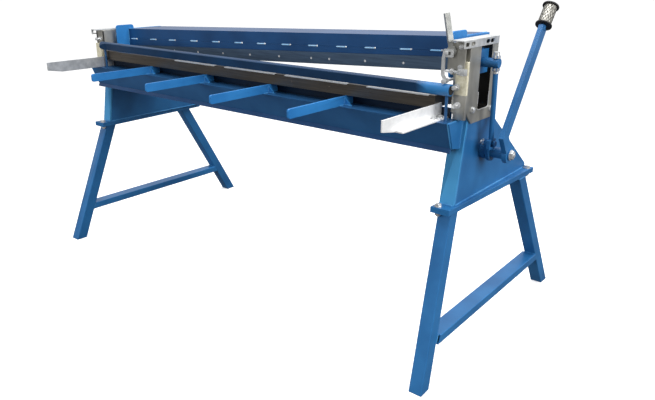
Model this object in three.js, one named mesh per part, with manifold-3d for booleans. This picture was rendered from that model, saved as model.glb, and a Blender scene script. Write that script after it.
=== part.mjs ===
// Manual sheet metal shear on two A-shaped stands. Lengths are in millimetres and +Z is up.
// X runs along the bed with the hand lever at +X, Y points away from the operator,
// and the two blades meet in the plane Y = 0 until the whole machine is centred at the end.
// Heights above the stands are measured from the foot of the housings.
import * as THREE from 'three'
import { mergeVertices } from 'three/addons/utils/BufferGeometryUtils.js'
import Module from 'manifold-3d'

const wasm = await Module()
wasm.setup()

// Fits, and the number of sides used for round pieces
const gap = 0.3
const overrun = 5
const roundSides = 32
const smallSides = 20

// Half the length of the bed: every place along X follows it
const bedHalf = 912
const housingSpare = 38
const housingWide = 54
const housingInner = bedHalf + housingSpare
const housingOuter = housingInner + housingWide

// Stands: square tube legs, capped at the foot, with a flat crossbar
const tube = 50
const tubeWall = 4
const footCap = 6
const legHeight = 575
const footOut = 80
const frontTopOut = 31
const rearTopOut = 58
const crossbarOut = 70
const frontFoot = { x: housingInner + footOut, y: -341 }
const frontTop = { x: housingInner + frontTopOut, y: -126 }
const rearFoot = { x: housingInner + footOut, y: 718 }
const rearTop = { x: housingInner + rearTopOut, y: 375 }
const crossbarX = housingInner + crossbarOut
const crossbarWide = 60
const crossbarHigh = 32
const crossbarTop = 178
const crossbarWall = 3

// The two bolted plates between each stand and its housing
const plateHigh = 10
const plateCorners = [[-8, -181], [62, -181], [86, 470], [16, 470]]
const boltPlaces = { front: [14, -166.5], rear: [70, 440] }
const boltRadius = 6
const boltHole = 6.5
const boltAcross = 19
const boltHeadHigh = 8
const washerRadius = 12.5
const washerHigh = 2.5
const boltSpare = 5

// Housings: inner and outer side plates, a front plate that leans back and a rear strip
const housingSheet = 8
const housingFront = -136
const leanShare = 0.176
const housingTop = 299.1
const innerBelowBed = 1
const rearEdge = [[455, 0], [455, 16], [272, 149], [95, 276], [84, housingTop]]

// Bed: a deep bar on a web, with the lower blade on its rear face
const bedTop = 358.1
const bedHigh = 42
const bedFront = -140
const bladeInset = 7
const bladeHalf = bedHalf - bladeInset
const lowerBladeThick = 22
const lowerBladeHigh = 48
const webFront = -100
const webThick = 12
const webBelowFold = 3

// Apron: folded sheet in front of the bed, closed by two end plates, with two guide studs
const apronOut = 34.7
const apronHalf = housingInner + apronOut
const apronSheet = 6
const apronTop = -182
const apronFold = { y: -147, down: 86 }
const apronLip = { y: -154, down: 101 }
const apronEndPlate = 6
const apronEndDown = 95
const studInset = 12
const studOut = 47
const studPlaces = [studInset - bedHalf, bedHalf + studOut]
const studRadius = 5
const studRise = 9

// Support arms and squaring arms standing on the apron
const armShares = [-0.6086, -0.2029, 0.2029, 0.6086]
const armThick = 8
const armHigh = 32.4
const armTip = -448
const armCorner = 8
const gusset = { front: -152, back: -146, reach: 34 }
const squareSheet = 5
const squareBelowBed = 27
const squareFlange = 32
const squareTip = -445
const squareNose = { y: 70, z: 12 }

// Knife beam: box section, blade carrier and upper blade, all climbing towards the lever
const beamTop = 492.6
const climbShare = 0.0437
const beamSpare = 0.7
const beamHalf = bedHalf + beamSpare
const beamFront = 3
const beamDeep = 200
const beamHigh = 48
const beamWall = 8
const carrierDeep = 37
const carrierHigh = 57
const bandRight = 19
const bandLeft = 31
const bladeFront = 0.3
const upperBladeThick = 18
const upperBladeHigh = 44.5

// Beam ends: end plates and slide blocks with their pin tubes
const endPlateThick = 8
const endPlateFront = -65
const endPlateRear = 205
const endPlateRise = 20
const endPlateStep = 34
const endPlateDrop = 128
const endPlateCorner = 12
const pinBelowBeam = 74.5
const pinY = -14
const pinRadius = 15
const slideInset = 4
const slideHalf = 39.7
const slideHigh = 76
const pinSpare = 11

// Guides on the housings; the left ones stand lower
const guideAbovePin = 72.7
const floorBelowPin = 152
const guideThick = 8
const guideFront = -114
const guideRear = 84
const footBelowFloor = 39
const guideChamfer = 40
const slotHalf = 40
const slotCorner = 10
const barDeep = 32
const barFront = -126
const barBelowHousing = 10
const barBelowTop = 62
const bracketSheet = 4
const bracketHigh = 24
const bracketFrontRight = -164
const bracketFrontLeft = -140
const bracketRear = 76
const bracketSlotHigh = 12
const bracketSlotLong = 28
const bracketSlotsRight = [-146, -109, -5, 26]
const bracketSlotsLeft = [-118, -84, 14, 48]

// Drive: torsion shaft, bushes, cranks, connecting rods and hand lever
const shaftY = 45
const shaftZ = 156.1
const shaftRadius = 19
const shaftBore = 13
const shaftSpareRight = 4
const shaftSpareLeft = 10
const bushRadius = 24
const bushSpare = 4
const collarRadius = 27
const collarLong = 22
const crankSpace = 4
const crankThick = 12
const crankHub = 32
const crankEnd = 16
const crankReach = { y: -35, z: 38 }
const crankPinRadius = 6
const crankHead = 10
const crankHeadHigh = 6
const rodSpace = 5
const rodRadius = 8.5
const rodAbove = 33
const nutAcross = 20
const nutHigh = 9
const eyeHalfX = 6
const eyeY = 1.6
const eyeHalfY = 22.5
const eyeHalfZ = 17
const eyeSlotHalfY = 16.5
const eyeSlotHalfZ = 9.5
const leverSpace = 22.4
const leverThick = 16
const leverWide = 38
const leverHub = 30
const leverKnee = { y: -43, z: 66 }
const leverReach = { y: 187, z: 400 }
const tangReach = { y: 55, z: 67 }
const tangRadius = 10
const gripLong = 80
const gripRadius = 21
const gripFlange = 28
const gripFlangeHigh = 5

// Hold-down tube, flattened on its front side between two slanting ends
const holdY = -149
const holdLift = 5.8
const holdRadius = 19
const holdBore = 15.4
const holdOutLeft = 6
const holdOutRight = 60
const holdLeft = -bedHalf - holdOutLeft
const holdRight = bedHalf + holdOutRight
const flatFrom = 9
const flatWall = 3.6
const flatInsetLeft = 39
const flatInsetRight = 62
const flatLeft = flatInsetLeft - bedHalf
const flatRight = bedHalf - flatInsetRight
const flatRun = 45
const flatTurn = 0.3
const studHole = 5.3

// Clamp that presses the right end of the hold-down
const pivotInset = 44
const pivotBelowTop = 29.7
const eccentric = { x: -11.1, z: -7.7 }
const handleReach = { x: -26, z: 110 }
const lug = { wide: 58, down: 59, up: 24, thick: 8 }
const pivotRadius = 6
const eccentricRadius = 4
const disc = { radius: 15, thick: 8.8 }
const handleWide = 16
const angle = { from: 26, wide: 16, sheet: 3 }
const linkThick = 6
const linkWide = 10
const linkEye = { low: -12.9, high: 22.1, halfHigh: 12 }
const linkSlot = { low: -5.4, high: 14.6, halfHigh: 5 }
const linkElbow = { x: -10.9, z: -17.3 }
const linkKneeDown = 50
const linkInset = 22
const linkBoss = 8

const blue = [0x2a6fb0, 0.42, 0.1]
const steel = [0x77756f, 0.45, 0.85]
const dark = [0x4a4644, 0.5, 0.8]
const zinc = [0xbfc1c2, 0.38, 0.9]
const cream = [0xd3cdb4, 0.6, 0.1]
const black = [0x202022, 0.7, 0]

const machine = new THREE.Group()
const upper = new THREE.Group()
machine.add(upper)

function finish([colour, roughness, metalness]) {
  return new THREE.MeshStandardMaterial({ color: colour, roughness, metalness })
}

function add(group, name, geometry, look) {
  const mesh = new THREE.Mesh(geometry, finish(look))
  mesh.name = name
  group.add(mesh)
}

// Everything on the left is the right side turned over in X
function sides(parent, build) {
  for (const [name, way] of [['right', 1], ['left', -1]]) {
    const group = new THREE.Group()
    group.scale.x = way
    build(group, name, way)
    parent.add(group)
  }
}

function outline(points, holes = []) {
  const corners = (list) => list.map(([u, v]) => new THREE.Vector2(u, v))
  const shape = new THREE.Shape(corners(points))
  for (const hole of holes) shape.holes.push(new THREE.Path(corners(hole)))
  return shape
}

function arc(u, v, radius, from, to, steps) {
  return Array.from({ length: steps + 1 }, (_, i) => {
    const angle = from + (to - from) * i / steps
    return [u + radius * Math.cos(angle), v + radius * Math.sin(angle)]
  })
}

function ring(u, v, radius, count = roundSides) {
  return arc(u, v, radius, 0, 2 * Math.PI, count).slice(1)
}

function hexagon(u, v, across) {
  return ring(u, v, across / Math.sqrt(3), 6)
}

function rounded(u0, u1, v0, v1, radius, steps = 4) {
  const quarter = Math.PI / 2
  return [
    ...arc(u1 - radius, v1 - radius, radius, 0, quarter, steps),
    ...arc(u0 + radius, v1 - radius, radius, quarter, 2 * quarter, steps),
    ...arc(u0 + radius, v0 + radius, radius, 2 * quarter, 3 * quarter, steps),
    ...arc(u1 - radius, v0 + radius, radius, 3 * quarter, 4 * quarter, steps),
  ]
}

// Strip of even width around a path, cut square at both ends and mitred between
function strip(path, before, after) {
  const side = (width) => path.map(([u, v], i) => {
    const [u0, v0] = path[Math.max(i - 1, 0)]
    const [u1, v1] = path[Math.min(i + 1, path.length - 1)]
    const a = new THREE.Vector2(u - u0, v - v0).normalize()
    const b = new THREE.Vector2(u1 - u, v1 - v).normalize()
    const mean = a.clone().add(b).normalize()
    const reach = width / mean.dot(i ? a : b)
    return [u - mean.y * reach, v + mean.x * reach]
  })
  return [...side(before), ...side(-after).reverse()]
}

// Outer border of two circles of unlike size joined by straight tangents
function hull([u0, v0, r0], [u1, v1, r1], steps = 10) {
  const angle = Math.atan2(v1 - v0, u1 - u0)
  const spread = Math.acos((r0 - r1) / Math.hypot(u1 - u0, v1 - v0))
  return [
    ...arc(u0, v0, r0, angle + spread, angle + 2 * Math.PI - spread, steps),
    ...arc(u1, v1, r1, angle - spread, angle + spread, steps),
  ]
}

function drawn(shape, from, to) {
  const depth = Math.abs(to - from)
  const geometry = new THREE.ExtrudeGeometry(shape, { depth, bevelEnabled: false })
  return geometry.translate(0, 0, Math.min(from, to))
}

// Outline in Y and Z, drawn out along X
function alongX(shape, from, to) {
  const turn = new THREE.Matrix4().makeBasis(
    new THREE.Vector3(0, 1, 0), new THREE.Vector3(0, 0, 1), new THREE.Vector3(1, 0, 0))
  return drawn(shape, from, to).applyMatrix4(turn)
}

// Outline in X and Z, drawn out along Y
function alongY(shape, from, to) {
  const turn = new THREE.Matrix4().makeBasis(
    new THREE.Vector3(1, 0, 0), new THREE.Vector3(0, 0, 1), new THREE.Vector3(0, -1, 0))
  return drawn(shape, -from, -to).applyMatrix4(turn)
}

function block(x0, x1, y0, y1, z0, z1) {
  const geometry = new THREE.BoxGeometry(Math.abs(x1 - x0), Math.abs(y1 - y0), Math.abs(z1 - z0))
  return geometry.translate((x0 + x1) / 2, (y0 + y1) / 2, (z0 + z1) / 2)
}

function solid(geometry) {
  const bare = geometry.clone()
  bare.deleteAttribute('normal')
  bare.deleteAttribute('uv')
  const merged = mergeVertices(bare)
  return new wasm.Manifold(new wasm.Mesh({
    numProp: 3,
    vertProperties: merged.attributes.position.array,
    triVerts: Uint32Array.from(merged.index.array),
  }))
}

function geometryOf(manifold) {
  const mesh = manifold.getMesh()
  const geometry = new THREE.BufferGeometry()
  const places = Float32Array.from(mesh.vertProperties)
  geometry.setAttribute('position', new THREE.BufferAttribute(places, 3))
  geometry.setIndex(new THREE.BufferAttribute(Uint32Array.from(mesh.triVerts), 1))
  geometry.computeVertexNormals()
  return geometry
}

function join(first, ...others) {
  return geometryOf(others.reduce((whole, other) => whole.add(solid(other)), solid(first)))
}

function cut(first, ...others) {
  return geometryOf(others.reduce((whole, other) => whole.subtract(solid(other)), solid(first)))
}

// Stands

// Places a piece made upright on the line from a foot to the top of its leg
function legFrame(foot, top) {
  const low = new THREE.Vector3(foot.x, foot.y, 0)
  const up = new THREE.Vector3(top.x, top.y, legHeight).sub(low).normalize()
  const across = new THREE.Vector3(1, 0, 0)
  across.addScaledVector(up, -across.dot(up)).normalize()
  return new THREE.Matrix4().makeBasis(across, up.clone().cross(across), up).setPosition(low)
}

function leg(foot, top) {
  const frame = legFrame(foot, top)
  const half = tube / 2
  const bore = half - tubeWall
  const wide = 2 * housingOuter
  const outer = block(-half, half, -half, half, -tube, 2 * legHeight).applyMatrix4(frame)
  const inner = block(-bore, bore, -bore, bore, -tube, 2 * legHeight).applyMatrix4(frame)
  const hollow = cut(inner, block(-wide, wide, -wide, wide, -wide, footCap))
  const below = block(-wide, wide, -wide, wide, -wide, 0)
  const above = block(-wide, wide, -wide, wide, legHeight, wide)
  return cut(outer, hollow, below, above)
}

function crossbar() {
  const half = crossbarWide / 2
  const low = crossbarTop - crossbarHigh
  const wall = crossbarWall
  const outer = block(crossbarX - half, crossbarX + half, frontFoot.y, rearFoot.y, low, crossbarTop)
  const inner = block(crossbarX - half + wall, crossbarX + half - wall,
    frontFoot.y - tube, rearFoot.y + tube, low + wall, crossbarTop - wall)
  const face = tube / 2 + gap
  const far = 4 * tube
  const front = block(-far, far, -far, face, 0, legHeight).applyMatrix4(legFrame(frontFoot, frontTop))
  const rear = block(-far, far, -face, far, 0, legHeight).applyMatrix4(legFrame(rearFoot, rearTop))
  return cut(outer, inner, front, rear)
}

function boltedPlate(low) {
  const holes = Object.values(boltPlaces)
    .map(([out, y]) => ring(housingInner + out, y, boltHole, smallSides))
  const corners = plateCorners.map(([out, y]) => [housingInner + out, y])
  return drawn(outline(corners, holes), low, low + plateHigh)
}

const lowPlate = legHeight + gap
const highPlate = lowPlate + plateHigh + gap
const boltSeat = highPlate + plateHigh + gap

function flangeBolt([out, y]) {
  const x = housingInner + out
  const washer = outline(ring(x, y, washerRadius))
  const hexagonal = outline(hexagon(x, y, boltAcross))
  const head = boltSeat + washerHigh
  const nut = lowPlate - gap
  return join(
    drawn(outline(ring(x, y, boltRadius, smallSides)),
      nut - boltHeadHigh - boltSpare, head + boltHeadHigh),
    drawn(washer, boltSeat, head),
    drawn(hexagonal, head, head + boltHeadHigh),
    drawn(hexagonal, nut - boltHeadHigh, nut),
  )
}

sides(machine, (group, name) => {
  add(group, `leg_front_${name}`, leg(frontFoot, frontTop), blue)
  add(group, `leg_rear_${name}`, leg(rearFoot, rearTop), blue)
  add(group, `leg_crossbar_${name}`, crossbar(), blue)
  add(group, `leg_plate_${name}`, boltedPlate(lowPlate), blue)
  add(group, `housing_base_${name}`, boltedPlate(highPlate), blue)
  add(group, `flange_bolt_front_${name}`, flangeBolt(boltPlaces.front), zinc)
  add(group, `flange_bolt_rear_${name}`, flangeBolt(boltPlaces.rear), zinc)
})

upper.position.z = boltSeat

// Housings

const frontAt = (z) => housingFront + leanShare * z

function slotFloor(floor) {
  const r = slotCorner
  return [
    ...arc(r - slotHalf, floor + r, r, Math.PI, 1.5 * Math.PI, 4),
    ...arc(slotHalf - r, floor + r, r, 1.5 * Math.PI, 2 * Math.PI, 4),
  ]
}

function sidePlate(top, inner, floor) {
  const behind = housingSheet + gap
  const rear = rearEdge.filter(([, z]) => z < housingTop)
  const shape = outline([
    [frontAt(0) + behind, 0],
    ...rear,
    [rearEdge.at(-1)[0], top],
    [frontAt(housingTop) + behind, top],
    [frontAt(housingTop) + behind, housingTop - overrun],
  ])
  const plate = alongX(shape, inner, inner + housingSheet)
  const far = inner + housingSheet + overrun
  const way = alongX(outline([
    ...slotFloor(floor), [slotHalf, top + floor], [-slotHalf, top + floor],
  ]), inner - overrun, far)
  const hole = alongX(outline(ring(shaftY, shaftZ, bushRadius + gap)), inner - overrun, far)
  return cut(plate, way, hole)
}

function frontPlate() {
  const behind = housingSheet
  return alongX(outline([
    [frontAt(0), 0], [frontAt(0) + behind, 0],
    [frontAt(housingTop) + behind, housingTop], [frontAt(housingTop), housingTop],
  ]), housingInner, housingOuter)
}

function rearStrip() {
  const shape = outline(strip(rearEdge, housingSheet, 0))
  return alongX(shape, housingInner + housingSheet + gap, housingOuter - housingSheet - gap)
}

// Middle of each slide, level with its end of the climbing beam
const topAt = (x) => beamTop + climbShare * x
const endPlateInner = beamHalf + gap
const slideInner = endPlateInner + endPlateThick + gap
const slideOuter = housingOuter - slideInset
const pinHeight = (way) => topAt(way * (slideInner + slideOuter) / 2) - pinBelowBeam

sides(upper, (group, name, way) => {
  const floor = pinHeight(way) - floorBelowPin
  add(group, `housing_front_${name}`, frontPlate(), blue)
  add(group, `housing_outer_${name}`, sidePlate(housingTop, housingOuter - housingSheet, floor), blue)
  add(group, `housing_inner_${name}`, sidePlate(bedTop - innerBelowBed, housingInner, floor), blue)
  add(group, `housing_rear_${name}`, rearStrip(), blue)
})

// Bed, apron and the arms in front of it

const bedFoot = bedTop - bedHigh
const webTop = bedFoot - gap
const apronZ = webTop - armHigh - gap
const holdZ = bedTop + holdLift + holdRadius

function apron() {
  const path = [
    [webFront - gap, apronZ], [apronTop, apronZ],
    [apronFold.y, apronZ - apronFold.down], [apronLip.y, apronZ - apronLip.down],
  ]
  const sheet = alongX(outline(strip(path, apronSheet, 0)), -apronHalf, apronHalf)
  const low = apronZ - apronSheet / 2
  const stud = (x) => drawn(outline(ring(x, holdY, studRadius, smallSides)), low, holdZ + studRise)
  return join(sheet, ...studPlaces.map(stud))
}

function apronEnd() {
  const inner = apronHalf + gap
  const foot = apronZ - apronEndDown
  return alongX(outline([
    [apronTop, apronZ], [frontAt(apronZ) - gap, apronZ],
    [frontAt(foot) - gap, foot], [apronFold.y, apronZ - apronFold.down],
  ]), inner, inner + apronEndPlate)
}

const armFoot = apronZ + gap
const armRoot = webFront - gap

function supportArm(x) {
  const r = armCorner
  const shape = outline([
    ...arc(armTip + r, webTop - r, r, Math.PI, Math.PI / 2, 4),
    [armRoot, webTop],
    [armRoot, armFoot],
    ...arc(armTip + r, armFoot + r, r, 1.5 * Math.PI, Math.PI, 4),
  ])
  const side = alongY(outline([
    [x, armFoot], [x + gusset.reach, armFoot], [x + armThick / 2, webTop - overrun], [x, webTop - overrun],
  ]), gusset.front, gusset.back)
  return join(alongX(shape, x - armThick / 2, x + armThick / 2), side)
}

function squaringArm() {
  const inner = bedHalf + gap
  const top = bedTop - squareBelowBed
  const shape = outline([
    [squareTip, top], [armRoot, top], [armRoot, armFoot],
    [squareTip + squareNose.y, armFoot], [squareTip, armFoot + squareNose.z],
  ])
  return join(
    alongX(shape, inner, inner + squareSheet),
    block(inner, inner + squareFlange, squareTip + squareNose.y, armRoot, armFoot, armFoot + squareSheet),
  )
}

function bed(group) {
  const bladeBack = -lowerBladeThick
  add(group, 'bed_bar', block(-bedHalf, bedHalf, bedFront, bladeBack - gap, bedFoot, bedTop), steel)
  add(group, 'bed_web', block(-housingInner + gap, housingInner - gap,
    webFront, webFront + webThick, apronZ - apronFold.down - webBelowFold, webTop), blue)
  add(group, 'lower_blade', block(-bladeHalf, bladeHalf,
    bladeBack, 0, bedTop - lowerBladeHigh, bedTop), dark)
  add(group, 'apron', apron(), blue)
  armShares.forEach((share, i) => add(group, `support_arm_${i + 1}`, supportArm(share * bedHalf), blue))
}

bed(upper)
sides(upper, (group, name) => {
  add(group, `apron_end_${name}`, apronEnd(), blue)
  add(group, `squaring_arm_${name}`, squaringArm(), zinc)
})

// Knife beam

// Draws a piece along X whose outline differs evenly from its left to its right end
function tapered(outlineAt, half) {
  const middle = outlineAt(0)
  const geometry = alongX(outline(middle), -half, half)
  const place = geometry.attributes.position
  const off = (i) => ([y, z]) => Math.hypot(y - place.getY(i), z - place.getZ(i)) < gap / 10
  const corners = Array.from({ length: place.count }, (_, i) => middle.findIndex(off(i)))
  corners.forEach((corner, i) => place.setZ(i, outlineAt(place.getX(i))[corner][1]))
  return geometry
}

const bandAt = (x) => (bandRight + bandLeft) / 2 + (bandRight - bandLeft) / 2 * x / beamHalf

function boxAt(x, inset) {
  const [front, back] = [beamFront + inset, beamFront + beamDeep - inset]
  const [low, high] = [topAt(x) - beamHigh + inset, topAt(x) - inset]
  return [[front, low], [back, low], [back, high], [front, high]]
}

function carrierAt(x) {
  const top = topAt(x) - beamHigh - gap
  const band = top - bandAt(x)
  const low = top - carrierHigh
  const step = bladeFront + upperBladeThick + gap
  const back = beamFront + carrierDeep
  return [[beamFront, top], [back, top], [back, low], [step, low], [step, band], [beamFront, band]]
}

function upperBladeAt(x) {
  const top = topAt(x) - beamHigh - gap - bandAt(x) - gap
  const back = bladeFront + upperBladeThick
  return [[bladeFront, top - upperBladeHigh], [back, top - upperBladeHigh], [back, top], [bladeFront, top]]
}

function upperBeam() {
  const reach = beamHalf + overrun
  return cut(tapered((x) => boxAt(x, 0), beamHalf), tapered((x) => boxAt(x, beamWall), reach))
}

add(upper, 'upper_beam', upperBeam(), blue)
add(upper, 'blade_carrier', tapered(carrierAt, beamHalf), blue)
add(upper, 'upper_blade', tapered(upperBladeAt, bladeHalf), dark)

function endPlate(way) {
  const top = topAt(way * endPlateInner)
  const quarter = Math.PI / 2
  const r = endPlateCorner
  const low = top - endPlateDrop + r
  const high = top + endPlateRise - r
  const shape = outline([
    ...arc(endPlateRear - r, low, r, -quarter, 0, 4),
    [endPlateRear, top],
    [endPlateStep, top],
    ...arc(endPlateStep - r, high, r, 0, quarter, 4),
    ...arc(endPlateFront + r, high, r, quarter, 2 * quarter, 4),
    ...arc(endPlateFront + r, low, r, 2 * quarter, 3 * quarter, 4),
  ])
  return alongX(shape, endPlateInner, endPlateInner + endPlateThick)
}

// Places along the shaft, from the housing outwards
const collarFace = housingOuter + gap
const collarEnd = collarFace + collarLong
const crankInner = collarEnd + crankSpace
const crankOuter = crankInner + crankThick
const rodX = crankOuter + rodSpace + eyeHalfX
const crankHeadFace = rodX + eyeHalfX + 2 * gap
const leverInner = crankHeadFace + crankHeadHigh + leverSpace
const leverOuter = leverInner + leverThick
const crankPin = { y: shaftY + crankReach.y, z: shaftZ + crankReach.z }

// Each rod leans from its pin tube to the eye below
function leaning(geometry, z) {
  return geometry.rotateX(Math.atan2(eyeY - pinY, z - crankPin.z)).translate(rodX, pinY, z)
}

function slideBlock(z) {
  const half = slideHigh / 2
  const pinEnd = rodX + pinSpare
  const body = block(slideInner, slideOuter, -slideHalf, slideHalf, z - half, z + half)
  const pin = alongX(outline(ring(pinY, z, pinRadius)), slideOuter - overrun, pinEnd)
  const bore = outline(ring(0, 0, rodRadius + gap, smallSides))
  return cut(join(body, pin), leaning(drawn(bore, -2 * pinRadius, 2 * pinRadius), z))
}

function eyeSlot(z) {
  const r = eyeSlotHalfZ
  const far = eyeSlotHalfY - r
  return [
    ...arc(eyeY + far, z, r, -Math.PI / 2, Math.PI / 2, 8),
    ...arc(eyeY - far, z, r, Math.PI / 2, 1.5 * Math.PI, 8),
  ]
}

function connectingRod(z) {
  const low = crankPin.z
  const length = Math.hypot(eyeY - pinY, z - low)
  const nut = outline(hexagon(0, 0, nutAcross))
  const seat = pinRadius + gap
  const eye = alongX(outline(
    rounded(eyeY - eyeHalfY, eyeY + eyeHalfY, low - eyeHalfZ, low + eyeHalfZ, overrun),
    [eyeSlot(low)],
  ), rodX - eyeHalfX, rodX + eyeHalfX)
  return join(
    leaning(drawn(outline(ring(0, 0, rodRadius, smallSides)),
      (eyeHalfZ + eyeSlotHalfZ) / 2 + gap - length, rodAbove), z),
    leaning(drawn(nut, seat, seat + nutHigh), z),
    leaning(drawn(nut, -seat - nutHigh, -seat), z),
    eye,
  )
}

sides(upper, (group, name, way) => {
  const z = pinHeight(way)
  add(group, `beam_end_plate_${name}`, endPlate(way), blue)
  add(group, `slide_block_${name}`, slideBlock(z), blue)
  add(group, `connecting_rod_${name}`, connectingRod(z), blue)
})

// Guides

function guideOutline(pin) {
  const top = pin + guideAbovePin
  const floor = pin - floorBelowPin
  const foot = floor - footBelowFloor
  return [
    [guideFront + guideChamfer, foot],
    [guideRear, foot],
    [guideRear, top],
    [slotHalf, top],
    ...slotFloor(floor).reverse(),
    [-slotHalf, top],
    [guideFront, top],
    [guideFront, foot + guideChamfer],
  ]
}

// The part above the housing is a deep block that stands on the outer side plate
function guidePlate(pin) {
  const face = housingOuter + gap
  const inner = housingInner + housingSheet + gap
  const thick = alongX(outline(guideOutline(pin)), inner, face + guideThick)
  const below = block(inner - overrun, face, guideFront - overrun, guideRear + overrun,
    0, housingTop + gap)
  return cut(thick, below)
}

const barInner = housingOuter - barDeep

function guideBar(pin) {
  return block(barInner, housingOuter + gap + guideThick, barFront, guideFront - gap,
    housingTop - barBelowHousing, pin + guideAbovePin - barBelowTop)
}

function guideBracket(pin, front, slots) {
  const low = pin + guideAbovePin + gap
  const face = housingOuter + 2 * gap + guideThick
  const outer = face + bracketSheet
  const top = low + bracketSheet
  const middle = top - bracketHigh / 2
  const folded = join(
    block(barInner, outer, front, bracketRear, low, top),
    block(face, outer, front, bracketRear, top - bracketHigh, top),
  )
  const half = bracketSlotLong / 2 - bracketSlotHigh / 2
  const r = bracketSlotHigh / 2
  const holes = slots.map((y) => alongX(outline([
    ...arc(y + half, middle, r, -Math.PI / 2, Math.PI / 2, 6),
    ...arc(y - half, middle, r, Math.PI / 2, 1.5 * Math.PI, 6),
  ]), face - overrun, outer + overrun))
  return cut(folded, ...holes)
}

sides(upper, (group, name, way) => {
  const left = name === 'left'
  const pin = pinHeight(way)
  const front = left ? bracketFrontLeft : bracketFrontRight
  const slots = left ? bracketSlotsLeft : bracketSlotsRight
  add(group, `guide_plate_${name}`, guidePlate(pin), steel)
  add(group, `guide_bar_${name}`, guideBar(pin), cream)
  add(group, `guide_bracket_${name}`, guideBracket(pin, front, slots), zinc)
})

// Drive

function torsionShaft() {
  const shape = outline(ring(shaftY, shaftZ, shaftRadius), [ring(shaftY, shaftZ, shaftBore)])
  return alongX(shape, -crankOuter - shaftSpareLeft, leverOuter + shaftSpareRight)
}

function shaftBush() {
  const bore = ring(shaftY, shaftZ, shaftRadius + gap)
  return join(
    alongX(outline(ring(shaftY, shaftZ, bushRadius), [bore]), housingInner - bushSpare, collarEnd),
    alongX(outline(ring(shaftY, shaftZ, collarRadius), [bore]), collarFace, collarEnd),
  )
}

function crank() {
  const { y, z } = crankPin
  const end = crankHeadFace + crankHeadHigh
  const plate = outline(hull([shaftY, shaftZ, crankHub], [y, z, crankEnd]),
    [ring(shaftY, shaftZ, shaftRadius + gap)])
  return join(
    alongX(plate, crankInner, crankOuter),
    alongX(outline(ring(y, z, crankPinRadius, smallSides)), crankOuter - overrun, end),
    alongX(outline(ring(y, z, crankHead)), crankHeadFace, end),
  )
}

const leverX = (leverInner + leverOuter) / 2
const leverTop = [shaftY + leverReach.y, shaftZ + leverReach.z]

function lever() {
  const half = leverWide / 2
  const path = [[shaftY, shaftZ], [shaftY + leverKnee.y, shaftZ + leverKnee.z], leverTop]
  const rise = new THREE.Vector3(0, tangReach.y, tangReach.z)
  const up = new THREE.Vector3(0, 0, 1)
  const tilt = new THREE.Quaternion().setFromUnitVectors(up, rise.clone().normalize())
  const tang = drawn(outline(ring(0, 0, tangRadius, smallSides)), -tangRadius, rise.length())
  tang.applyQuaternion(tilt).translate(leverX, ...leverTop)
  const body = join(
    alongX(outline(strip(path, half, half)), leverInner, leverOuter),
    alongX(outline(ring(shaftY, shaftZ, leverHub)), leverInner, leverOuter),
    tang,
  )
  const bore = outline(ring(shaftY, shaftZ, shaftRadius + gap))
  return cut(body, alongX(bore, leverInner - overrun, leverOuter + overrun))
}

function grip() {
  const rise = new THREE.Vector3(0, tangReach.y, tangReach.z)
  const end = rise.length()
  const start = end - gripLong
  const bore = tangRadius + gap
  const flange = gripFlangeHigh
  const profile = [
    [bore, start], [gripFlange, start], [gripFlange, start + flange], [gripRadius, start + flange],
    [gripRadius, end - flange], [gripFlange, end - flange], [gripFlange, end], [bore, end], [bore, start],
  ].map(([r, h]) => new THREE.Vector2(r, h))
  const up = new THREE.Vector3(0, 1, 0)
  const tilt = new THREE.Quaternion().setFromUnitVectors(up, rise.normalize())
  const body = new THREE.LatheGeometry(profile, roundSides)
  return body.applyQuaternion(tilt).translate(leverX, ...leverTop)
}

add(upper, 'torsion_shaft', torsionShaft(), blue)
sides(upper, (group, name) => {
  add(group, `shaft_bush_${name}`, shaftBush(), blue)
  add(group, `crank_${name}`, crank(), blue)
})
add(upper, 'lever', lever(), blue)
add(upper, 'lever_grip', grip(), black)

// Hold-down and its clamp

// Takes away everything beyond a plane at the given distance on the front side
function flatCutter(distance, spare) {
  const far = 2 * holdRadius
  const run = flatRun * (far - distance) / (holdRadius - flatFrom)
  const shape = outline([
    [flatLeft - spare, distance], [flatRight + spare, distance],
    [flatRight + spare + run, far], [flatLeft - spare - run, far],
  ])
  return drawn(shape, -far, far).rotateX(Math.PI + flatTurn).translate(0, holdY, holdZ)
}

function holdDown() {
  const bar = alongX(outline(ring(holdY, holdZ, holdRadius)), holdLeft, holdRight)
  const bore = alongX(outline(ring(holdY, holdZ, holdBore)), holdLeft - overrun, holdRight + overrun)
  const hollow = cut(bore, flatCutter(flatFrom - flatWall, flatWall))
  const holes = studPlaces.map((x) => drawn(
    outline(ring(x, holdY, studHole, smallSides)), holdZ - 2 * holdRadius, holdZ))
  return cut(bar, flatCutter(flatFrom, 0), hollow, ...holes)
}

// Places of the clamp, from the guide bar forwards
const lugBack = barFront - gap
const discBack = lugBack - lug.thick - gap
const discFront = discBack - disc.thick
const linkBack = discFront - 2 * gap
const linkFront = linkBack - linkThick
const pivot = { x: housingOuter - pivotInset, z: pinHeight(1) + guideAbovePin - pivotBelowTop }
const clampPin = { x: pivot.x + eccentric.x, z: pivot.z + eccentric.z }

function clampBracket() {
  const { x, z } = pivot
  const plate = outline([
    [housingOuter - lug.wide, z - lug.down], [housingOuter, z - lug.down],
    [housingOuter, z + lug.up], [housingOuter - lug.wide, z + lug.up],
  ])
  return join(
    alongY(plate, lugBack - lug.thick, lugBack),
    alongY(outline(ring(x, z, pivotRadius, smallSides)), discFront, lugBack - lug.thick / 2),
  )
}

// Section of the handle, an angle with its ridge towards the operator
function angleShape() {
  const half = angle.wide / Math.SQRT2
  const across = angle.sheet * Math.SQRT2
  return outline([
    [0, -half], [half, 0], [half - across / 2, across / 2],
    [0, across - half], [across / 2 - half, across / 2], [-half, 0],
  ])
}

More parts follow.
